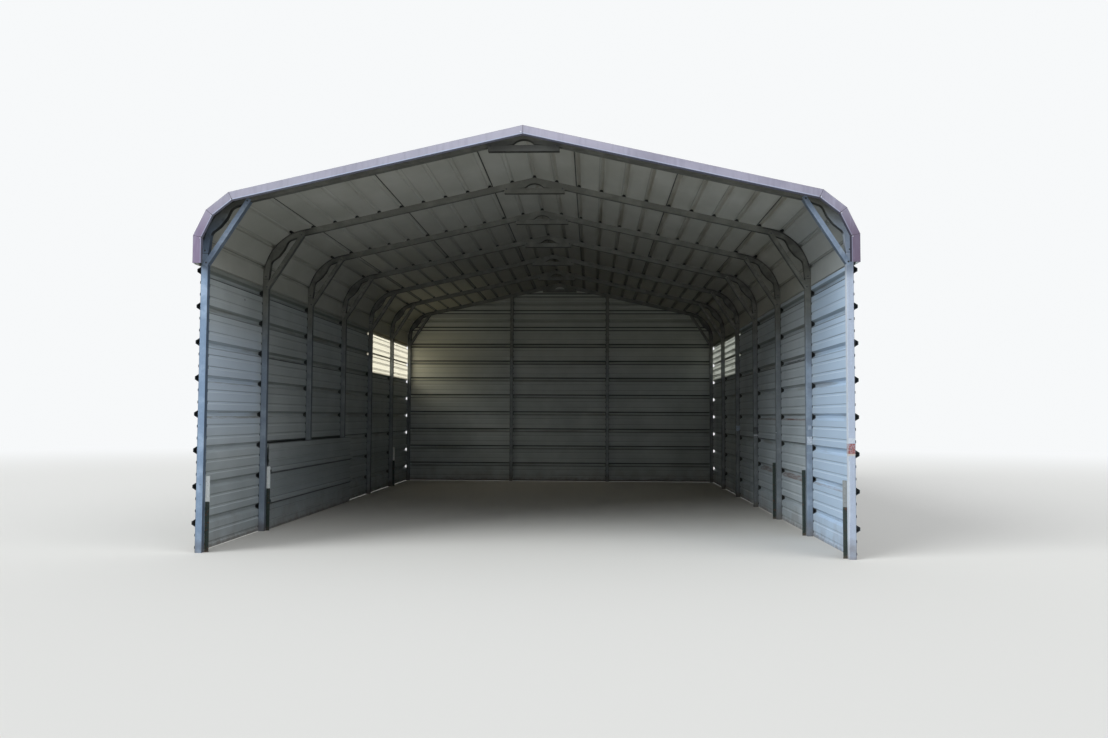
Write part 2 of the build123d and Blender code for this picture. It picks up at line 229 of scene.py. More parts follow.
def zinc(name, stretch, marks=()):
    """Galvanised tube, streaked along its length. A mark is (side, x, x, z, z, colour, share)."""
    steel = Finish(name)
    cell = steel.node("TexVoronoi", values={"Vector": steel.place, "Scale": 110.0}, out="Color")
    spangle = steel.parts(cell)[0]
    bloom = steel.rise(steel.noise(7.0, detail=5.0), 0.42, 0.68)
    streak = steel.noise(1.0, stretch, detail=2.0, shift=4.0)
    facing = steel.parts(steel.facing())
    front = steel.rise(steel.y, -4.4, -4.5)
    sunny = front * steel.rise(steel.x, -0.5, 0.5) * 0.9
    washed = rained_and_lit_zinc(steel, bloom, facing, front, sunny)
    # Dust and painted shade: the zinc indoors and high up is painted greyer and darker than at the
    # opening.
    dusty_and_shaded = steel.mix(bloom, paint(114, 114, 107), paint(132, 132, 124))
    indoor_dust_and_shade = steel.rise(steel.y, -4.5, -4.4) * steel.rise(steel.z, 1.3, 2.4)
    indoor_dust_and_shade = steel.larger(indoor_dust_and_shade, steel.rise(steel.y, -4.4, -0.8) * 0.75)
    indoor_dust_and_shade = steel.larger(indoor_dust_and_shade, steel.rise(steel.z, 2.62, 2.95))
    colour = steel.mix(indoor_dust_and_shade, washed, dusty_and_shaded)
    # Painted shade on the inner faces of the left legs.
    inner_face_shade = steel.rise(facing[0], 0.5, 0.8) * steel.rise(steel.x, -2.3, -2.5)
    inner_face_shade = inner_face_shade * steel.rise(steel.z, 2.7, 2.5)
    colour = steel.mix(inner_face_shade * 0.5, colour, paint(44, 54, 66))
    colour = steel.shade(colour, 0.84 + spangle * 0.1 + streak * 0.22)
    flecks = steel.rise(steel.noise(160.0, detail=1.0, shift=9.0), 0.74, 0.8)
    flecks = flecks * steel.rise(steel.noise(3.0, shift=2.0), 0.5, 0.6)
    colour = steel.mix(flecks * 0.7, colour, rust)
    dust = steel.rise(steel.z + steel.noise(9.0, shift=7.0) * 0.3, 0.34, 0.1)
    colour = steel.mix(dust * 0.6, colour, soil)
    seam = steel.band(steel.z, leg_top - 0.0022, leg_top + 0.0022, 0.0008)
    colour = steel.mix(seam * 0.9, colour, soot)
    colour = shaded_bends(steel, colour, facing, front)
    grime = steel.rise(steel.noise(60.0, detail=4.0, shift=1.0), 0.4, 0.56)
    for side, left, right, low, high, stain, share in marks:
        patch = steel.band(steel.x * side, left, right, 0.001)
        patch = patch * steel.band(steel.z, low, high, 0.002)
        colour = steel.mix(patch * (0.55 + grime * 0.45) * share, colour, stain)
    height = spangle * 0.3 + steel.noise(500.0, detail=2.0)
    roughness = 0.46 + spangle * 0.1 + bloom * 0.1 + dust * 0.25
    steel.surface(colour, roughness, height, 0.0002, Metallic=0.3 - indoor_dust_and_shade * 0.15 - sunny * 0.25)
    return steel


leg_face = (2.686, 2.7435)
white_scuff = paint(214, 219, 226)
black_scuff = paint(38, 38, 42)
leg_marks = {
    1: [
        (1, *leg_face, 0.86, 0.945, paint(150, 78, 66), 0.95),
        (1, *leg_face, 0.845, 0.862, paint(214, 196, 170), 0.6),
        (1, *leg_face, 0.95, 0.99, white_scuff, 0.8),
        (1, 2.686, 2.697, 0.30, 0.8, white_scuff, 0.7),
        (1, 2.704, 2.714, 0.893, 0.905, black_scuff, 1.0),
        (1, 2.7, 2.722, 1.966, 1.974, paint(70, 78, 90), 0.9),
        (-1, 2.7, 2.716, 0.565, 0.575, paint(92, 104, 124), 0.7),
    ],
    2: [
        (1, 2.69, 2.7435, 0.89, 0.97, white_scuff, 0.9),
        (1, 2.7, 2.73, 1.04, 1.08, white_scuff, 0.5),
    ],
    3: [
        (1, 2.674, 2.69, 0.98, 0.99, white_scuff, 1.0),
        (1, 2.7, 2.707, 0.91, 0.918, black_scuff, 0.9),
    ],
    4: [
        (1, *leg_face, 0.945, 1.03, black_scuff, 0.7),
        (1, *leg_face, 0.916, 0.934, white_scuff, 0.9),
    ],
    5: [(1, 2.69, 2.7435, 0.96, 1.035, paint(186, 200, 220), 0.8)],
}
upright = (45, 45, 1.6)
leg_finish = zinc("leg_zinc", upright)
for number in range(1, 8):
    marks = leg_marks.get(number)
    finish = zinc(f"leg_zinc_{number}", upright, marks) if marks else leg_finish
    dress(finish, f"legs_{number}")


# Bows: one length of the same tube for each frame, bent over the roof. The press has crimped the
# inside of each corner and pinched the tube under the ridge, and the swaged ends stand in the legs.
bow_finish = zinc("bow_zinc", (3.0, 60, 60))
dress(bow_finish, *[f"bow_{number}" for number in range(1, 8)])


# Braces: short channels pressed from galvanised strip. One straddles each corner and one lies
# level under each ridge, and a hex-head screw goes through each flange near both ends.
def strip_zinc():
    """Galvanised strip, bluish on the front frame, where rain reaches it, with dust and painted
    shade inside.
    """
    strip = Finish("strip_zinc")
    cell = strip.node("TexVoronoi", values={"Vector": strip.place, "Scale": 70.0}, out="Color")
    spangle = strip.parts(cell)[1]
    bloom = strip.rise(strip.noise(11.0, detail=5.0), 0.45, 0.66)
    washed = strip.mix(bloom, paint(142, 158, 180), paint(168, 182, 200))
    dusty_and_shaded = strip.mix(bloom, paint(114, 114, 107), paint(134, 134, 126))
    colour = strip.mix(strip.rise(strip.y, -4.5, -4.4), washed, dusty_and_shaded)
    colour = strip.shade(colour, 0.88 + spangle * 0.14)
    # Painted shade on faces that look down.
    below = strip.rise(strip.parts(strip.facing())[2], -0.2, -0.5)
    colour = strip.mix(below * 0.35, colour, paint(70, 76, 84))
    roughness = 0.4 + spangle * 0.12 + bloom * 0.12
    strip.surface(colour, roughness, spangle * 0.4, 0.0003, Metallic=0.4)
    return strip


def screw_finish(name, colour, metallic, roughness):
    """A screw or rivet head with a little wear."""
    head = Finish(name)
    wear = head.rise(head.noise(300.0, detail=2.0), 0.5, 0.62)
    shade = head.shade(colour, 0.8 + head.noise(90.0, shift=3.0) * 0.4)
    head.surface(head.mix(wear * 0.35, shade, paint(120, 118, 116)), roughness, Metallic=metallic)
    return head


def add_piece(name, shape, finish):
    """Make a piece of the carport from a finished bmesh."""
    mesh = bpy.data.meshes.new(name)
    shape.to_mesh(mesh)
    shape.free()
    mesh.materials.append(finish.material)
    piece = bpy.data.objects.new(name, mesh)
    bpy.context.scene.collection.objects.link(piece)
    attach(piece, "root")
    return piece


# Each ring of a screw: its sides, its radius at the foot and at the top, its start and its depth.
washer = (12, 0.008, 0.0066, 0.0, 0.0016)
hex_head = (6, 0.0048, 0.0044, 0.0016, 0.0046)


def set_screw(shape, place, normal, size=1.0):
    """A hex-head screw with its washer, standing on a surface."""
    turn = Vector(normal).to_track_quat("Z", "Y").to_matrix().to_4x4()
    for sides, foot, top, start, depth in (washer, hex_head):
        lift = Matrix.Translation((0, 0, (start + depth / 2) * size))
        bmesh.ops.create_cone(
            shape, cap_ends=True, segments=sides, radius1=foot * size, radius2=top * size,
            depth=depth * size, matrix=Matrix.Translation(place) @ turn @ lift,
        )


dress(strip_zinc(), "corner_braces_left", "corner_braces_right")
dress(bow_finish, "peak_braces")
flange = 0.0303
brace_holes = ((2.702, 2.451), (2.3572, 2.982), (0.283, 3.4395))
bow_screw_height = leg_top + 0.024
leg_screw_height = leg_top - 0.075
dark_screw = screw_finish("dark_screw", paint(74, 78, 82), 0.5, 0.45)
brace_screws = bmesh.new()
for middle in frame_places:
    for side in (-1, 1):
        for way in (-1, 1):
            for x, z in brace_holes:
                hole = (side * x, middle + way * flange, z)
                set_screw(brace_screws, hole, (0, way, 0))
        front_face = (side * leg_line, middle - tube / 2, bow_screw_height)
        set_screw(brace_screws, front_face, (0, -1, 0))
        inner_face = (side * (half_width - tube), middle, leg_screw_height)
        set_screw(brace_screws, inner_face, (-side, 0, 0))
add_piece("brace_screws", brace_screws, dark_screw)


# Roof sheets: steel sheet with a rib every nine inches, painted on both sides. The ridge sheet laps
# over two sheets on each slope, and the last sheet is bent round the eave and hangs as a skirt.
# They are screwed to the bows beside the ribs, with a stitching screw on each lap between two bows.
roof_slope = radians(12.6)
roof_turn = radians(90 - 12.6) / 3
rib_run = 0.22948
rib_spacing = rib_run * cos(roof_slope)
rib_count = 14
lap_ribs = (2, 6, 10)
bent_ribs = (11, 12, 13)
ridge_height = 3.5558
first_bend = roof_slope + roof_turn / 2


def roof_spot(rib, along):
    """A point of the roof line past a rib, right of the ridge, and the normal there."""
    x, z = 0.0, ridge_height
    for space in range(rib + 1):
        fall = roof_slope + roof_turn * sum(space >= bend for bend in bent_ribs)
        run = along if space == rib else rib_run
        x += run * cos(fall)
        z -= run * sin(fall)
    return x, z, (sin(fall), cos(fall))


def eave_angle(coat, across):
    """How far round the eave a place is, from upright."""
    sides = {0: across - eave_centre[0], 1: coat.z - eave_centre[1]}
    return coat.node("Math", {"operation": "ARCTAN2"}, sides)


def roof_outside(coat, across):
    """1 where the roof faces the sky and 0 on its underside."""
    outward = coat.node("CombineXYZ", values={
        0: coat.rise(across, eave_centre[0], 2.75) * coat.sign(coat.x),
        2: coat.rise(across, 2.77, 2.45) + 0.02,
    })
    both = {0: coat.facing(), 1: outward}
    agrees = coat.node("VectorMath", {"operation": "DOT_PRODUCT"}, both, out="Value")
    return coat.rise(agrees, -0.001, 0.001)


def roof_below(coat, patches, across, on_slope, rib_gap, beside):
    """The underside, with dirt, dark lines at its ribs and laps, and painted light and shade."""
    raised = coat.z + across * tan(roof_slope) - ridge_height
    hollow = coat.rise(raised, 0.006, 0.016) * on_slope
    gap = coat.rise(raised, 0.001, 0.004) * on_slope
    edge = coat.band(rib_gap, -0.0275, -0.0215, 0.0012) * on_slope
    bend_gap = coat.nearest(eave_angle(coat, across), first_bend, roof_turn)
    edge = edge + coat.band(bend_gap, -0.052, -0.04, 0.003) * (1 - on_slope)
    rightward = coat.rise(coat.x, -0.3, 0.5)
    blotches = coat.noise(4.0, (1, 0.5, 1), detail=4.0, shift=12.0)
    below = coat.mix(coat.rise(patches, 0.35, 0.65), paint(188, 187, 176), paint(202, 200, 190))
    below = coat.mix(coat.rise(blotches, 0.38, 0.66) * 0.14, below, paint(150, 148, 134))
    # Painted shade: greyer towards the back, and darker there towards the ridge.
    far_shade = coat.rise(coat.y, -3.4, 2.0)
    below = coat.mix(far_shade * 0.4, below, paint(148, 146, 136))
    below = coat.mix(far_shade * coat.rise(across, 1.7, 0.4) * 0.35, below, paint(112, 112, 112))
    # Painted light: lighter and warmer towards the back on the left.
    lit = coat.rise(coat.y, 0.0, 3.2) * coat.rise(coat.x, -0.7, -1.8)
    below = coat.mix(lit * 0.6, below, paint(222, 218, 194))
    dirt = coat.rise(coat.noise(1.0, (9, 0.9, 9), detail=5.0, shift=3.0), 0.42, 0.66)
    below = coat.mix(beside * dirt * (0.12 + rightward * 0.28), below, paint(118, 106, 84))
    # Painted light lifts the rib hollows on the left slope; on the right they get brown dirt.
    below = coat.mix(hollow * (0.3 - rightward * 0.3), below, paint(228, 228, 221))
    below = coat.mix(hollow * rightward * (0.1 + dirt * 0.15), below, paint(128, 118, 92))
    # Painted shade at the rib gaps further back.
    below = coat.mix(gap * far_shade * 0.5, below, paint(46, 46, 41))
    # Painted light: lighter and bluish near the right wall at the front.
    right_front_light = coat.rise(coat.x, 2.3, 2.65) * coat.rise(coat.y, -2.2, -3.3)
    below = coat.mix(right_front_light * 0.2, below, paint(190, 210, 232))
    below = coat.mix(edge * (0.2 + rightward * 0.25), below, paint(58, 56, 48))
    lap_gap = coat.nearest(across, rib_spacing * 2, rib_spacing * 4)
    lap = coat.band(lap_gap, -0.032, -0.0205, 0.001) * on_slope
    # Painted shadow on the eave sheet just above the wall's top edge; the laps are dark joints.
    tuck_shadow = coat.band(coat.z, 2.666, 2.671, 0.0015) * coat.rise(across, 2.6, 2.7) * 0.6
    below = coat.mix((lap + tuck_shadow) * (1 - rightward * 0.15), below, paint(16, 16, 13))
    # Painted shade in the rib hollows over each bow.
    over_bow_shade = coat.band(coat.nearest(coat.y, frame_places[0], bay), -0.034, 0.1, 0.006)
    return coat.mix(over_bow_shade * gap, below, paint(14, 14, 12))


def roof_above(coat, runs, beside):
    """The top: chalked, with dusty runs down the slope, lichen and a little rust at the ribs."""
    chalk = coat.rise(coat.noise(2.2, detail=5.0, shift=6.0), 0.35, 0.7)
    above = coat.mix(chalk, paint(196, 196, 189), paint(212, 212, 206))
    above = coat.mix(runs * 0.4, above, paint(156, 153, 140))
    lichen = coat.rise(coat.noise(38.0, detail=3.0, shift=5.0), 0.66, 0.72)
    above = coat.mix(lichen * 0.5, above, paint(122, 124, 108))
    rust_runs = coat.rise(coat.noise(1.0, (2.0, 30, 2.0), detail=3.0, shift=15.0), 0.66, 0.74)
    return coat.mix(rust_runs * beside * 0.4, above, paint(142, 104, 78))


def roof_paint():
    """Weathered pale paint, another on each side of the sheet."""
    coat = Finish("roof_paint")
    across = abs(coat.x)
    top = roof_outside(coat, across)
    on_slope = coat.rise(across, 2.54, 2.49)
    rib_gap = coat.nearest(across, 0.0, rib_spacing)
    beside = coat.rise(abs(rib_gap), 0.075, 0.02) * on_slope
    patches = coat.noise(1.6, (1, 0.6, 1), detail=4.0)
    runs = coat.rise(coat.noise(1.0, (1.5, 26, 1.5), detail=3.0, shift=8.0), 0.48, 0.72)
    below = roof_below(coat, patches, across, on_slope, rib_gap, beside)
    colour = coat.mix(top, below, roof_above(coat, runs, beside))
    roughness = 0.44 + patches * 0.2 + runs * top * 0.15
    height = coat.noise(3.5, (1, 0.35, 1), detail=2.0)
    coat.surface(colour, roughness, height, 0.004, Coat_Weight=0.05)
    return coat


def skin(*names):
    """The surface of some CAD nodes, to stand screws on."""
    shape = bmesh.new()
    for name in names:
        shape.from_mesh(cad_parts[name].data)
    tree = BVHTree.FromBMesh(shape)
    shape.free()
    return tree


def screw_down(shape, surface, place, normal):
    """Set a screw where a line from outside meets a surface."""
    clear = 0.12
    way = Vector(normal).normalized()
    spot, _, _, _ = surface.ray_cast(Vector(place) + way * clear, -way)
    if spot:
        set_screw(shape, spot, way)


roof_names = ["ridge_sheet"]
for side in ("left", "right"):
    roof_names += [f"upper_roof_sheet_{side}", f"lower_roof_sheet_{side}", f"eave_sheet_{side}"]
dress(roof_paint(), *roof_names)
roof_skin = skin(*roof_names)
beside_rib = 0.045
painted_screw = screw_finish("painted_screw", paint(206, 206, 200), 0.0, 0.4)
roof_screws = bmesh.new()
for side in (-1, 1):
    for rib in range(rib_count):
        x, z, normal = roof_spot(rib, beside_rib)
        upwards = (side * normal[0], 0, normal[1])
        for middle in frame_places:
            screw_down(roof_screws, roof_skin, (side * x, middle, z), upwards)
    for rib in lap_ribs:
        x, z, normal = roof_spot(rib, 0.0)
        upwards = (side * normal[0], 0, normal[1])
        for middle in frame_places[:-1]:
            screw_down(roof_screws, roof_skin, (side * x, middle + bay / 2, z), upwards)
add_piece("roof_screws", roof_screws, painted_screw)


# Side walls: heavier sheet with level ribs a foot apart and two shallow swages between them,
# screwed to the legs from outside. Dirt and painted shade lie along the edges of each rib and
# swage, with a painted highlight below each swage, and the dirt is brown where water runs.
wall_rib_pitch = 0.3048
swage_pitch = wall_rib_pitch / 3
wall_ribs = [0.2494 + wall_rib_pitch * number for number in range(8)]
side_laps = (0.8915, 1.7405)
wall_top = 2.658


def side_tones(coat, inside, deep):
    """The inside of the side walls: bluish on the right, with painted light and painted shade."""
    right = coat.rise(coat.x, 0.0, 1.0)
    left = 1 - right
    # Painted light: the right wall is painted lighter and bluish, most at the front; painted shade
    # darkens the left wall further in.
    inside = coat.mix(right * (1 - deep * 0.8) * 0.85, inside, paint(206, 227, 250))
    inside = coat.mix(left * deep * 0.3, inside, paint(160, 163, 160))
    # Painted light: a lighter, bluish patch at mid height on the left wall by the opening.
    skylit_left = coat.band(coat.z, 1.0, 1.9, 0.35) * coat.rise(coat.y, -2.9, -3.3) * left
    inside = coat.mix(skylit_left * 0.9, inside, paint(220, 232, 246))
    # Darker towards the bottom of the left wall.
    inside = coat.mix(coat.rise(coat.z, 0.95, 0.5) * left * 0.4, inside, paint(148, 156, 160))
    # Painted shade on the left wall just under the eave.
    eave_shade = coat.rise(coat.z, wall_ribs[-1] + 0.005, wall_ribs[-1] + 0.03) * left
    return coat.mix(eave_shade * 0.5, inside, paint(104, 100, 74))


def rear_tones(coat, inside):
    """The inside of the rear wall: olive above, with painted warm light beside the clearer light
    panel.
    """
    # Painted light: the left of the rear wall is painted lighter and warmer, as if lit by the light
    # panel.
    panel_glow = coat.rise(coat.x, -0.9, -2.5) * coat.band(coat.z, 1.55, 2.9, 0.55)
    inside = coat.mix(coat.rise(coat.z, 1.7, 2.6) * 0.35, inside, paint(205, 202, 178))
    return coat.mix(panel_glow * 0.9, inside, paint(243, 238, 215))


def wall_stains(coat, inside, marks):
    """Stains and dark lines. A mark is (side, y, y, z, z, colour, share), even at a share of 1."""
    grime = coat.rise(coat.noise(1.0, (26, 5, 60), detail=5.0, shift=9.0), 0.4, 0.58)
    for side, start, end, low, high, stain, share in marks:
        soft = min(0.08, (end - start) / 4)
        patch = coat.band(coat.y, start, end, soft)
        patch = patch * coat.band(coat.z, low, high, min(0.004, soft))
        patch = patch * coat.rise(coat.x * side, 0.0, 0.1)
        ragged = share if share == 1 else (0.35 + grime * 0.65) * share
        inside = coat.mix(patch * ragged, inside, stain)
    return inside


def wall_chalk(coat, splash):
    """The outside of the walls: whiter, with faint drips, and soil splashed up from the ground."""
    share = coat.rise(coat.noise(2.0, detail=5.0, shift=6.0), 0.35, 0.7)
    chalk = coat.mix(share, paint(204, 207, 208), paint(220, 222, 222))
    drips = coat.rise(coat.noise(1.0, (7, 7, 0.7), detail=4.0, shift=11.0), 0.5, 0.75)
    chalk = coat.mix(drips * 0.25, chalk, paint(168, 166, 156))
    return coat.mix(splash * 0.45, chalk, paint(150, 132, 112))


def wall_paint(name, axis, pan, first_rib, laps=(), marks=(), proud=False):
    """Pale wall paint. The sheet's flat inner face is pan metres out along the axis that it faces.

    A proud sheet stands off the wall behind it; it is duller, with painted shade under its ribs.
    """
    coat = Finish(name)
    sideways = axis == "x"
    out = abs(coat.x) if sideways else coat.y
    facing = coat.parts(coat.facing())
    outward = facing[0] * coat.sign(coat.x) if sideways else facing[1]
    deep = coat.rise(coat.y, -3.4, -2.7) if sideways else 1.0
    outside = coat.rise(outward, -0.001, 0.001)
    on_face = coat.rise(out, pan - 0.02, pan - 0.01)
    gap = coat.rise(out, pan + 0.0005, pan + 0.004)
    hollow = coat.rise(out, pan + 0.004, pan + 0.02)
    rib_gap = coat.nearest(coat.z, first_rib, wall_rib_pitch)
    swage_gap = coat.nearest(coat.z, first_rib, swage_pitch)
    off_rib = coat.rise(abs(rib_gap), 0.03, 0.045)
    above = coat.rise(coat.z, 1.2, 2.4)
    patches = coat.noise(1.3, detail=5.0)
    along = (8, 0.8, 14) if sideways else (0.8, 8, 14)
    water = coat.rise(coat.noise(1.0, along, detail=5.0, shift=3.0), 0.5, 0.68)
    inside = coat.mix(coat.rise(patches, 0.35, 0.65), paint(187, 192, 191), paint(205, 209, 208))
    inside = side_tones(coat, inside, deep) if sideways else rear_tones(coat, inside)

    # Painted shade under each rib, and in the rib hollows higher up.
    underside = coat.band(rib_gap, 0.011, 0.0335, 0.002) * on_face
    inside = coat.mix(underside * (0.12 + deep * 0.1 + above * 0.3), inside, paint(92, 102, 92))
    inside = coat.mix(hollow * above * 0.2, inside, paint(100, 108, 96))
    inside = coat.mix(hollow * water * 0.4, inside, paint(122, 108, 84))
    # Painted highlight along the lower side of each swage.
    swage_highlight = coat.band(swage_gap, -0.0145, -0.0068, 0.0012) * off_rib
    inside = coat.mix(swage_highlight * 0.25, inside, paint(232, 236, 238))
    # Dirt and painted shade along the upper side of each swage.
    crease_dirt_and_shade = coat.band(swage_gap, 0.008, 0.0145, 0.0014) * off_rib
    inside = coat.mix(crease_dirt_and_shade * (0.22 + water * 0.2 + deep * 0.1), inside, paint(52, 57, 60))
    # Painted shade on the rib flanks of the rear wall.
    if not sideways:
        flank_shade = coat.band(abs(rib_gap), 0.0185, 0.0355, 0.002)
        flank_shade = flank_shade * (0.6 + coat.rise(rib_gap, -0.01, 0.01) * 0.28)
        inside = coat.mix(flank_shade, inside, paint(24, 25, 25))
    # Painted shade under the ribs of a proud sheet.
    if proud:
        under_rib_shade = coat.band(rib_gap, -0.037, -0.013, 0.002)
        inside = coat.mix(under_rib_shade * 0.7, inside, paint(24, 25, 25))
    # Painted shade lines along the rib edges, stronger above eye height.
    lip_shade = coat.band(rib_gap, 0.0285, 0.0345, 0.0015) * (1 - above) * (0.2 + deep * 0.4)
    sill_shade = coat.band(rib_gap, -0.04, -0.029, 0.0015) * above * above * 0.9
    inside = coat.mix(lip_shade + sill_shade, inside, paint(40, 43, 43))
    for lap in laps:
        seam = coat.band(coat.z, lap - 0.005, lap + 0.005, 0.001)
        inside = coat.mix(seam * (0.25 + deep * 0.6), inside, soot)
    inside = wall_stains(coat, inside, marks)
    if sideways:
        # Painted shadow in the rib hollows behind each leg, and a painted contact shadow beside it.
        post_gap = coat.nearest(coat.y, frame_places[0], bay)
        inside = coat.mix(coat.band(post_gap, -0.03, 0.185, 0.006) * gap * 0.92, inside, soot)
        shadow = coat.band(post_gap, -0.038, 0.035, 0.004) * on_face
        inside = coat.mix(shadow * 0.35, inside, soot)
        inside = coat.mix(coat.rise(coat.z, wall_top, wall_top + 0.003) * 0.5, inside, soot)
    else:
        # Painted shadow in the rib hollows behind the rear posts.
        behind_post_shadow = coat.band(abs(coat.x), 0.825, 0.895, 0.008)
        inside = coat.mix(behind_post_shadow * gap * 0.92, inside, soot)

    splash = coat.rise(coat.z + coat.noise(5.0, detail=5.0, shift=5.0) * 0.7, 0.62, 0.28)
    inside = coat.mix(splash * 0.3, inside, paint(132, 112, 98))
    foot = coat.rise(coat.z + coat.noise(14.0, detail=4.0, shift=2.0) * 0.16, 0.15, 0.06)
    colour = coat.mix(outside, inside, wall_chalk(coat, splash))
    colour = coat.shade(coat.mix(foot * 0.6, colour, soil), 0.88 if proud else 1.0)
    roughness = 0.42 + patches * 0.22 + splash * 0.15
    coat.surface(colour, roughness, coat.noise(3.0, detail=2.0), 0.004, Coat_Weight=0.05)
    return coat


kick_low, kick_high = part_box("kick_sheet")
kick_shadow_band = (kick_low[1], kick_high[1], kick_high[2] - 0.006, kick_high[2] + 0.014)
wall_marks = [
    # Painted shadow on the left wall along the top of the kick sheet.
    (-1, *kick_shadow_band, paint(24, 25, 24), 1),
    (1, -3.0, -1.58, 1.128, 1.147, paint(126, 84, 66), 0.9),
    (1, -2.95, -1.65, 1.744, 1.77, paint(50, 48, 47), 0.8),
    (1, -1.45, -0.1, 1.126, 1.144, paint(126, 92, 74), 0.6),
    (1, -2.9, -1.6, 0.5, 0.545, paint(118, 80, 64), 0.7),
    (1, -1.4, -0.2, 0.5, 0.55, paint(112, 78, 62), 0.6),
    (1, -4.5, -3.1, 0.516, 0.534, paint(140, 120, 104), 0.5),
    (-1, -4.5, -3.1, 1.126, 1.147, paint(126, 116, 90), 0.6),
    (-1, -4.5, -3.2, 1.438, 1.452, paint(120, 112, 92), 0.5),
    (-1, -2.9, -1.6, 1.742, 1.764, paint(70, 66, 58), 0.5),
    (-1, -3.574, -3.558, 2.252, 2.27, paint(24, 25, 22), 1),
]
side_names = []
for side in ("left", "right"):
    side_names += [f"{place}_wall_sheet_{side}" for place in ("low", "middle", "top")]
side_finish = wall_paint("side_wall_paint", "x", half_width, wall_ribs[0], side_laps, wall_marks)
dress(side_finish, *side_names)
side_skin = skin(*side_names, "light_panel_left", "light_panel_right")
below_rib = 0.05
outside_wall = half_width + 0.05
wall_screws = bmesh.new()
for side in (-1, 1):
    for middle in frame_places:
        for height in wall_ribs:
            start = (side * outside_wall, middle, height - below_rib)
            screw_down(wall_screws, side_skin, start, (side, 0, 0))
add_piece("wall_screws", wall_screws, painted_screw)


# Light panels: the rear third of the top strip of each side wall, a sheet of glass-fibre plastic
# with the same ribs. Daylight comes through it, dirt lies along its ribs, more on the right, and
# it is darker along its front and lower edges.
def panel_plastic(name, clear, dirt, fresh, aged):
    """Milky plastic. Clear is the share of light that goes straight through, and dirt is 0 to 1."""
    sheet = Finish(name)
    fibres = sheet.noise(1.0, (60, 14, 60), detail=4.0)
    age = sheet.rise(sheet.noise(2.5, detail=4.0, shift=2.0), 0.35, 0.7)
    colour = sheet.shade(sheet.mix(age, fresh, aged), 0.92 + fibres * 0.12)
    rib_gap = abs(sheet.nearest(sheet.z, wall_ribs[0], wall_rib_pitch))
    swage_gap = abs(sheet.nearest(sheet.z, wall_ribs[0], swage_pitch))
    line = sheet.band(swage_gap, 0.004, 0.012 + dirt * 0.006, 0.002)
    line = line * sheet.rise(rib_gap, 0.03, 0.045) * (0.65 + dirt * 0.3)
    line = sheet.larger(line, sheet.band(rib_gap, 0.016 - dirt * 0.006, 0.034, 0.003) * 0.97)
    # Darker along the panel's front and lower edges.
    ends = sheet.larger(sheet.rise(sheet.z, 1.85, 1.79), sheet.rise(sheet.y, 1.64, 1.54))
    grime = sheet.rise(sheet.noise(1.0, (9, 1.2, 16), detail=5.0, shift=3.0), 0.5, 0.72)
    cover = sheet.larger(line, sheet.larger(ends * 0.95, grime * (0.12 + dirt * 0.3)))
    colour = sheet.mix(cover * 0.8, colour, paint(156, 152, 138))
    gloss = {"Base Color": colour, "Roughness": 0.45, "Coat Weight": 0.1}
    front = sheet.node("BsdfPrincipled", values=gloss)
    through = sheet.node("BsdfTranslucent", values={"Color": aged})
    milky = sheet.node("MixShader", values={0: (1 - cover) * 0.9, 1: front, 2: through})
    straight = sheet.node("BsdfTransparent", values={"Color": fresh})
    both = sheet.node("MixShader", values={0: (1 - cover) * clear, 1: milky, 2: straight})
    sheet.node("OutputMaterial", values={"Surface": both})
    return sheet


for side, state, clear, dirt, fresh, aged in (
    ("left", "clear", 0.5, 0.2, paint(252, 249, 240), paint(243, 237, 220)),
    ("right", "dirty", 0.3, 1.0, paint(224, 227, 223), paint(204, 205, 197)),
):
    plastic = panel_plastic(f"light_panel_{state}", clear, dirt, fresh, aged)
    dress(plastic, f"light_panel_{side}")


# Rear wall: four sheets of the wall profile across the back, the last cut to the slope of the roof.
# They are screwed to the rear legs, to the last bow and to two posts of the frame's tube between
# the legs.
rear_pan = 4.6024
rear_rib = 0.297
rear_names = ["rear_low_sheet", "rear_middle_sheet", "rear_upper_sheet", "rear_gable_sheet"]
dress(wall_paint("rear_wall_paint", "y", rear_pan, rear_rib), *rear_names)
dress(bow_finish, "rear_posts")
rear_skin = skin(*rear_names)
outside_rear = 4.68
post_line = 0.86
gable_pitch = 0.43
below_roof = 0.045
rear_screws = bmesh.new()
for x in (-leg_line, -post_line, post_line, leg_line):
    for number in range(8):
        height = rear_rib + wall_rib_pitch * number - below_rib
        screw_down(rear_screws, rear_skin, (x, outside_rear, height), (0, 1, 0))
for number in range(-5, 6):
    x = number * gable_pitch
    height = ridge_height - abs(x) * tan(roof_slope) - below_roof
    screw_down(rear_screws, rear_skin, (x, outside_rear, height), (0, 1, 0))
add_piece("rear_screws", rear_screws, painted_screw)


# Kick sheet: a spare length of wall sheet, screwed low on the inner faces of the left legs. It has
# been walked against and is a little duller than the wall behind it. Its pan is put past every
# face, so that none of it counts as the hollow of a rib.
kick_pan = 2.9
kick_rib = 0.2912
dress(wall_paint("kick_sheet_paint", "x", kick_pan, kick_rib, proud=True), "kick_sheet")


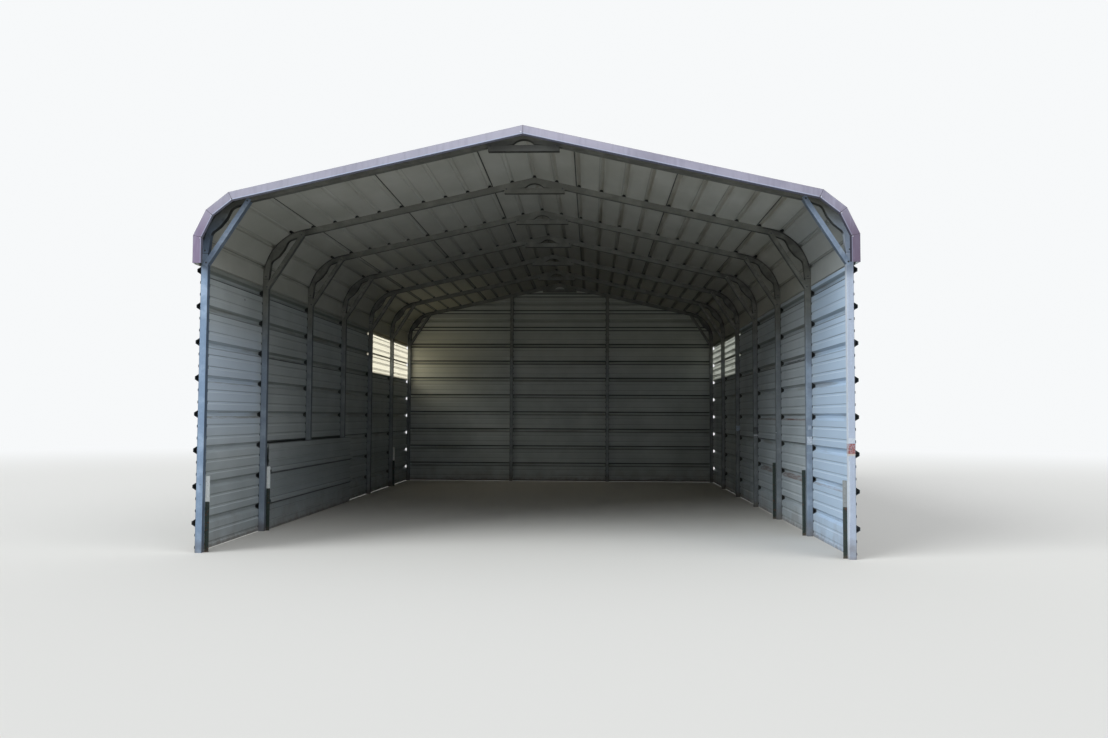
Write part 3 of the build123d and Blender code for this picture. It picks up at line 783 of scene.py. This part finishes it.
# Ground anchors: studded T posts of painted rail steel, driven down beside some of the legs. They
# are dark green, rusted in places, and dipped white at the top.
def post_paint():
    """Dark green paint, with a white top on the left and at the opening, greyer on the right."""
    coat = Finish("anchor_paint")
    chips = coat.rise(coat.noise(45.0, detail=5.0), 0.58, 0.64)
    green = coat.shade(paint(40, 52, 46), 0.7 + coat.noise(12.0, shift=3.0) * 0.6)
    green = coat.mix(chips * 0.4, green, rust)
    white = coat.mix(coat.rise(coat.x, -1.0, 1.0), paint(250, 250, 245), paint(150, 152, 150))
    white = coat.mix(chips * 0.3, white, paint(140, 134, 122))
    dipped = coat.larger(coat.rise(coat.x, 1.0, -1.0), coat.rise(coat.y, -4.0, -4.3))
    edge = coat.z + coat.noise(30.0, shift=8.0) * 0.012
    colour = coat.mix(coat.rise(edge, 0.426, 0.43) * dipped, green, white)
    dust = coat.rise(coat.z + coat.noise(20.0, shift=5.0) * 0.1, 0.1, 0.03)
    coat.surface(coat.mix(dust * 0.7, colour, soil), 0.5 + chips * 0.3, chips, 0.0006)
    return coat


anchor_finish = post_paint()
dress(anchor_finish, "anchors_left", "anchors_right")
anchor_line = 2.6692
anchor_gap = 0.003
stud_height = 0.0024
stud_sink = 0.0011
first_stud = 0.045
stud_pitch = 0.06
upright_stud = Matrix.Rotation(pi / 2, 4, "X")
for side, numbers, name in ((-1, (0, 1, 5), "left"), (1, (0, 1, 2), "right")):
    studs = bmesh.new()
    for number in numbers:
        face = frame_places[number] + tube / 2 + anchor_gap
        for step in range(10):
            spot = (side * anchor_line, face - stud_sink, first_stud + stud_pitch * step)
            bmesh.ops.create_cone(
                studs, cap_ends=True, segments=8, radius1=0.009, radius2=0.006,
                depth=stud_height, matrix=Matrix.Translation(spot) @ upright_stud,
            )
    add_piece(f"anchor_studs_{name}", studs, anchor_finish)


# Gable trim: an angle of painted sheet folded round the roof's edge at each end, with its lower
# edge hemmed. It is notched at the ridge and at each eave bend, where the ends lap and a rivet
# holds them.
trim_rise = 0.0238
trim_fall = 0.0612
bends = [first_bend + roof_turn * step for step in range(3)]
eave_flat = (ridge_height - eave_centre[1]) * cos(roof_slope) - eave_centre[0] * sin(roof_slope)


def trim_tones(coat, chalk, low):
    """Lavender grey, paler on the left and at the peak, deeper on the skirts, with faint runs."""
    colour = coat.mix(chalk, paint(158, 152, 168), paint(174, 168, 184))
    colour = coat.mix(coat.rise(coat.z, 3.25, 3.57) * 0.6, colour, paint(203, 196, 210))
    colour = coat.mix(coat.rise(coat.x, 0.4, -0.4) * 0.4, colour, paint(192, 188, 200))
    skirt = coat.mix(coat.rise(coat.x, -1.0, 1.0), paint(130, 106, 137), paint(94, 72, 96))
    colour = coat.mix(low * 0.85, colour, skirt)
    runs = coat.rise(coat.noise(1.0, (30, 30, 3.0), detail=3.0, shift=4.0), 0.46, 0.7)
    colour = coat.mix(runs * 0.2, colour, paint(122, 118, 138))
    washed = coat.rise(coat.noise(1.0, (34, 34, 4.0), detail=3.0, shift=14.0), 0.5, 0.7)
    return coat.mix(washed * 0.18, colour, paint(190, 188, 204))


def trim_paint():
    """Trim paint: a bluish painted hem highlight, navy painted fold shade, a dark line at each lap.
    """
    coat = Finish("trim_paint")
    across = abs(coat.x)
    reach = None
    for step in range(4):
        turn = roof_slope + roof_turn * step
        flat = (across - eave_centre[0]) * sin(turn) + (coat.z - eave_centre[1]) * cos(turn)
        reach = coat.larger(reach, flat) if reach else flat
    up = reach - eave_flat
    chalk = coat.rise(coat.noise(3.0, detail=5.0), 0.35, 0.68)
    low = coat.rise(coat.z, 3.06, 2.6)
    colour = trim_tones(coat, chalk, low)
    # Painted highlight: a bluish line along the hem.
    hem_highlight = coat.band(up, -trim_fall + 0.0165, -trim_fall + 0.0235, 0.001)
    hem_highlight = hem_highlight * (0.7 - coat.rise(coat.x, -0.5, 0.5) * 0.25) * (1 - low * 0.5)
    colour = coat.mix(hem_highlight, colour, paint(196, 208, 232))
    # Painted shade: the navy fold along the lower edge.
    fold_shadow = coat.rise(up, -trim_fall + 0.017, -trim_fall + 0.015)
    colour = coat.mix(fold_shadow * 0.95, colour, paint(7, 15, 38))
    upper_edge = coat.rise(up, trim_rise - 0.003, trim_rise - 0.0015)
    colour = coat.mix(upper_edge * 0.45, colour, paint(84, 82, 92))
    angle = eave_angle(coat, across)
    mitre = coat.rise(across, 0.0026, 0.0014)
    wide = 0.003 + coat.rise(up, -0.028, -0.036) * 0.006
    for bend in bends:
        mitre = mitre + coat.rise(abs(angle - bend), wide + 0.0012, wide)
    colour = coat.mix(mitre * 0.85, colour, paint(52, 42, 52))
    height = coat.noise(4.0, detail=2.0)
    coat.surface(colour, 0.38 + chalk * 0.18, height, 0.003, Coat_Weight=0.1)
    return coat


trim_face = 4.7255
lap_thickness = 0.0009
lap_width = 0.017
peak_lap = 0.034


def add_lap(shape, corners, way, face):
    """A thin lapped end of the trim: a flat outline on its face, given the sheet's thickness."""
    points = [shape.verts.new((x, face, z)) for x, z in corners]
    made = bmesh.ops.extrude_face_region(shape, geom=[shape.faces.new(points)])
    moved = [item for item in made["geom"] if isinstance(item, bmesh.types.BMVert)]
    bmesh.ops.translate(shape, vec=(0, way * lap_thickness, 0), verts=moved)


def bend_lap(bend):
    """The outline of the lap at an eave bend, right of the ridge, and the place of its rivet."""
    fall = bend + roof_turn / 2
    run_x, run_z = lap_width * cos(fall), -lap_width * sin(fall)
    ends = []
    for height in (-trim_fall, trim_rise):
        radius = (eave_flat + height) / cos(roof_turn / 2)
        ends.append((eave_centre[0] + radius * sin(bend), eave_centre[1] + radius * cos(bend)))
    (low_x, low_z), (high_x, high_z) = ends
    corners = ends + [(high_x + run_x, high_z + run_z), (low_x + run_x, low_z + run_z)]
    rivet_x = low_x + (high_x - low_x) * 0.3 + run_x / 2
    rivet_z = low_z + (high_z - low_z) * 0.3 + run_z / 2
    return corners, (rivet_x, rivet_z)


trim_finish = trim_paint()
dress(trim_finish, "gable_trim_front", "gable_trim_rear")
peak_top = ridge_height + trim_rise / cos(roof_slope)
peak_base = ridge_height - trim_fall / cos(roof_slope)
peak_drop = peak_lap * tan(roof_slope)
laps = bmesh.new()
rivets = bmesh.new()
for way in (-1, 1):
    face = way * trim_face
    lap_face = face + way * lap_thickness
    for side in (-1, 1):
        for bend in bends:
            corners, (rivet_x, rivet_z) = bend_lap(bend)
            add_lap(laps, [(side * x, z) for x, z in corners], way, face)
            set_screw(rivets, (side * rivet_x, lap_face, rivet_z), (0, way, 0), 0.5)
    reach = way * peak_lap
    ends = [(0, peak_base), (0, peak_top)]
    add_lap(laps, ends + [(reach, peak_top - peak_drop), (reach, peak_base - peak_drop)], way, face)
    set_screw(rivets, (way * 0.018, lap_face, peak_base + 0.03), (0, way, 0), 0.9)
bmesh.ops.recalc_face_normals(laps, faces=laps.faces)
add_piece("trim_laps", laps, trim_finish)
bright_rivet = screw_finish("bright_rivet", paint(246, 246, 250), 0.0, 0.35)
add_piece("trim_rivets", rivets, bright_rivet)


# Floor and studio: a plain pale floor that fades into the backdrop, a sky that is brightest
# overhead, a broad soft key from the left front with a fill from the right, and the camera where
# the photograph was taken.
backdrop = (0.93, 0.945, 0.955, 1)


def seen(finish):
    """1 for rays from the camera and for what gloss and glass show of the studio."""
    path = finish.node("LightPath", out="Is Camera Ray")
    share = path
    for name in ("Is Glossy Ray", "Is Transmission Ray"):
        share = finish.larger(share, Term(finish, path.socket.node.outputs[name]))
    return share


def studio_floor():
    """Pale floor for the camera, earth-dark for the light that it throws back."""
    ground = Finish("studio_floor")
    under = ground.rise(ground.y, -6.0, -3.5)
    earth = ground.mix(under, (0.46, 0.44, 0.41, 1), (0.2, 0.19, 0.175, 1))
    earth = ground.node("BsdfDiffuse", values={"Color": earth})
    pale = ground.node("BsdfDiffuse", values={"Color": paint(228, 221, 212)})
    haze = ground.node("Emission", values={"Color": backdrop, "Strength": 1.0})
    away = ground.rise(ground.length(ground.place), 9.0, 26.0)
    plain = ground.node("MixShader", values={0: away, 1: pale, 2: haze})
    both = ground.node("MixShader", values={0: seen(ground), 1: earth, 2: plain})
    ground.node("OutputMaterial", values={"Surface": both})
    return ground


def studio_sky():
    """Light that grows from a dim horizon to a bright zenith, behind a plain pale backdrop."""
    sky = Finish("studio_sky", bpy.data.worlds.new("studio_sky"))
    direction = sky.node("TexCoord", out="Generated")
    height = sky.rise(sky.parts(direction)[2], 0.0, 0.7)
    colour = sky.mix(height, (0.2, 0.205, 0.2, 1), (0.57, 0.62, 0.69, 1))
    light = sky.node("Background", values={"Color": colour, "Strength": 1.0})
    shown = sky.node("Background", values={"Color": backdrop, "Strength": 1.0})
    both = sky.node("MixShader", values={0: seen(sky), 1: light, 2: shown})
    sky.node("OutputWorld", values={"Surface": both})
    return sky


floor_shape = bmesh.new()
bmesh.ops.create_grid(floor_shape, x_segments=1, y_segments=1, size=60)
floor_mesh = bpy.data.meshes.new("studio_floor")
floor_shape.to_mesh(floor_mesh)
floor_shape.free()
floor_mesh.materials.append(studio_floor().material)
floor = bpy.data.objects.new("studio_floor", floor_mesh)
bpy.context.scene.collection.objects.link(floor)
bpy.context.scene.world = studio_sky().material

for name, energy, spread, colour, way in (
    ("key_lamp", 2.3, 40, (0.86, 0.94, 1.0), (-0.7, -0.52, 0.49)),
    ("fill_lamp", 0.9, 50, (0.88, 0.95, 1.0), (0.6, -0.42, 0.68)),
):
    lamp = bpy.data.lights.new(name, "SUN")
    lamp.energy = energy
    lamp.angle = radians(spread)
    lamp.color = colour
    stand = bpy.data.objects.new(name, lamp)
    bpy.context.scene.collection.objects.link(stand)
    stand.matrix_world = Vector(way).to_track_quat("Z", "Y").to_matrix().to_4x4()

camera_place = (0.5777, -12.5318, 1.1577)
heading = 0.0394
tilt = 0.0497
roll = 0.0047
view = bpy.data.cameras.new("camera")
view.lens = 30.962
view.sensor_width = 36.0
view.clip_end = 200.0
camera = bpy.data.objects.new("camera", view)
bpy.context.scene.collection.objects.link(camera)
camera.matrix_world = (
    Matrix.Translation(camera_place)
    @ Matrix.Rotation(heading, 4, "Z")
    @ Matrix.Rotation(pi / 2 + tilt, 4, "X")
    @ Matrix.Rotation(roll, 4, "Z")
)
bpy.context.scene.camera = camera
bpy.context.scene.view_settings.view_transform = "Standard"
